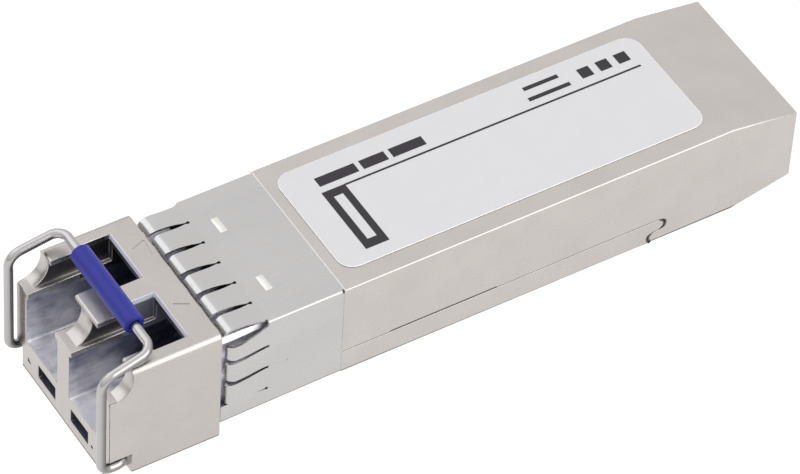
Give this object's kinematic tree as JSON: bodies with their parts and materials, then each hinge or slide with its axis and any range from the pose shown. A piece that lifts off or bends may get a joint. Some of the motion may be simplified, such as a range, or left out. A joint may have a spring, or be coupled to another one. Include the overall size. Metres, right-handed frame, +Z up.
{
  "type": "optical transceiver module",
  "caption": "Pluggable fibre-optic module with twin ports, spring-finger collar, wire bail with a plastic sleeve, rocking latch and open board edge.",
  "frame": {"origin": "on the flat underside of the body, on the centre line, level with the joint between the finger collar and the top cover", "axes": "+X across the module, +Y from the ports towards the board edge, +Z up from the underside to the label"},
  "size_m": [0.0142, 0.0589, 0.0127],
  "materials": {
    "cast_nickel": "satin nickel plate over a die casting",
    "sheet_steel": "rolled sheet, satin",
    "wire_steel": "drawn wire, semi-bright",
    "blue_plastic": "matt moulded",
    "label_film": "matt printed film",
    "spring_steel": "pressed spring sheet",
    "stainless": "turned",
    "ceramic": "ground zirconia",
    "gold": "gold plated",
    "board_green": "solder mask",
    "chip_black": "moulded epoxy",
    "flex_amber": "polyimide film",
    "chip_ceramic": "fired ceramic",
    "pad_grey": "soft filled silicone",
    "gasket_black": "conductive foam"
  },
  "bodies": {
    "housing": {"bias_capacitor": "chip_ceramic", "bottom_cover": "cast_nickel", "circuit_board": "board_green", "edge_contacts_bottom": "gold", "edge_contacts_top": "gold", "emi_collar": "sheet_steel", "emi_gasket": "gasket_black", "filter_inductor": "chip_black", "label": "label_film", "laser_driver_ic": "chip_black", "latch_pivot_pin": "stainless", "latch_spring": "spring_steel", "memory_ic": "chip_black", "microcontroller_ic": "chip_black", "nose_housing": "cast_nickel", "osa_clamp": "sheet_steel", "output_capacitor": "chip_ceramic", "receive_can": "gold", "receive_ceramic_sleeve": "ceramic", "receive_flex": "flex_amber", "receive_receptacle": "stainless", "receiver_amp_ic": "chip_black", "supply_capacitor": "chip_ceramic", "thermal_pad": "pad_grey", "top_cover": "cast_nickel", "transmit_can": "gold", "transmit_ceramic_sleeve": "ceramic", "transmit_fibre_stub": "ceramic", "transmit_flex": "flex_amber", "transmit_receptacle": "stainless"},
    "bail": {"bail_wire": "wire_steel", "bail_sleeve": "blue_plastic"},
    "latch": {"latch_rocker": "spring_steel"}
  },
  "joints": [
    {"name": "bail_hinge", "type": "hinge", "parent": "housing", "child": "bail", "pos_m": [0, -0.01765, 0.0001], "axis": [1, 0, 0], "range_deg": [0, 90]},
    {"name": "latch_pivot", "type": "hinge", "parent": "housing", "child": "latch", "pos_m": [0, -0.0112, 0.00055], "axis": [1, 0, 0], "range_deg": [0, 4.5], "deforming": ["latch_spring"]}
  ],
  "couplings": [
    {"joint": "latch_pivot", "follows": "bail_hinge", "ratio": 0.05}
  ]
}
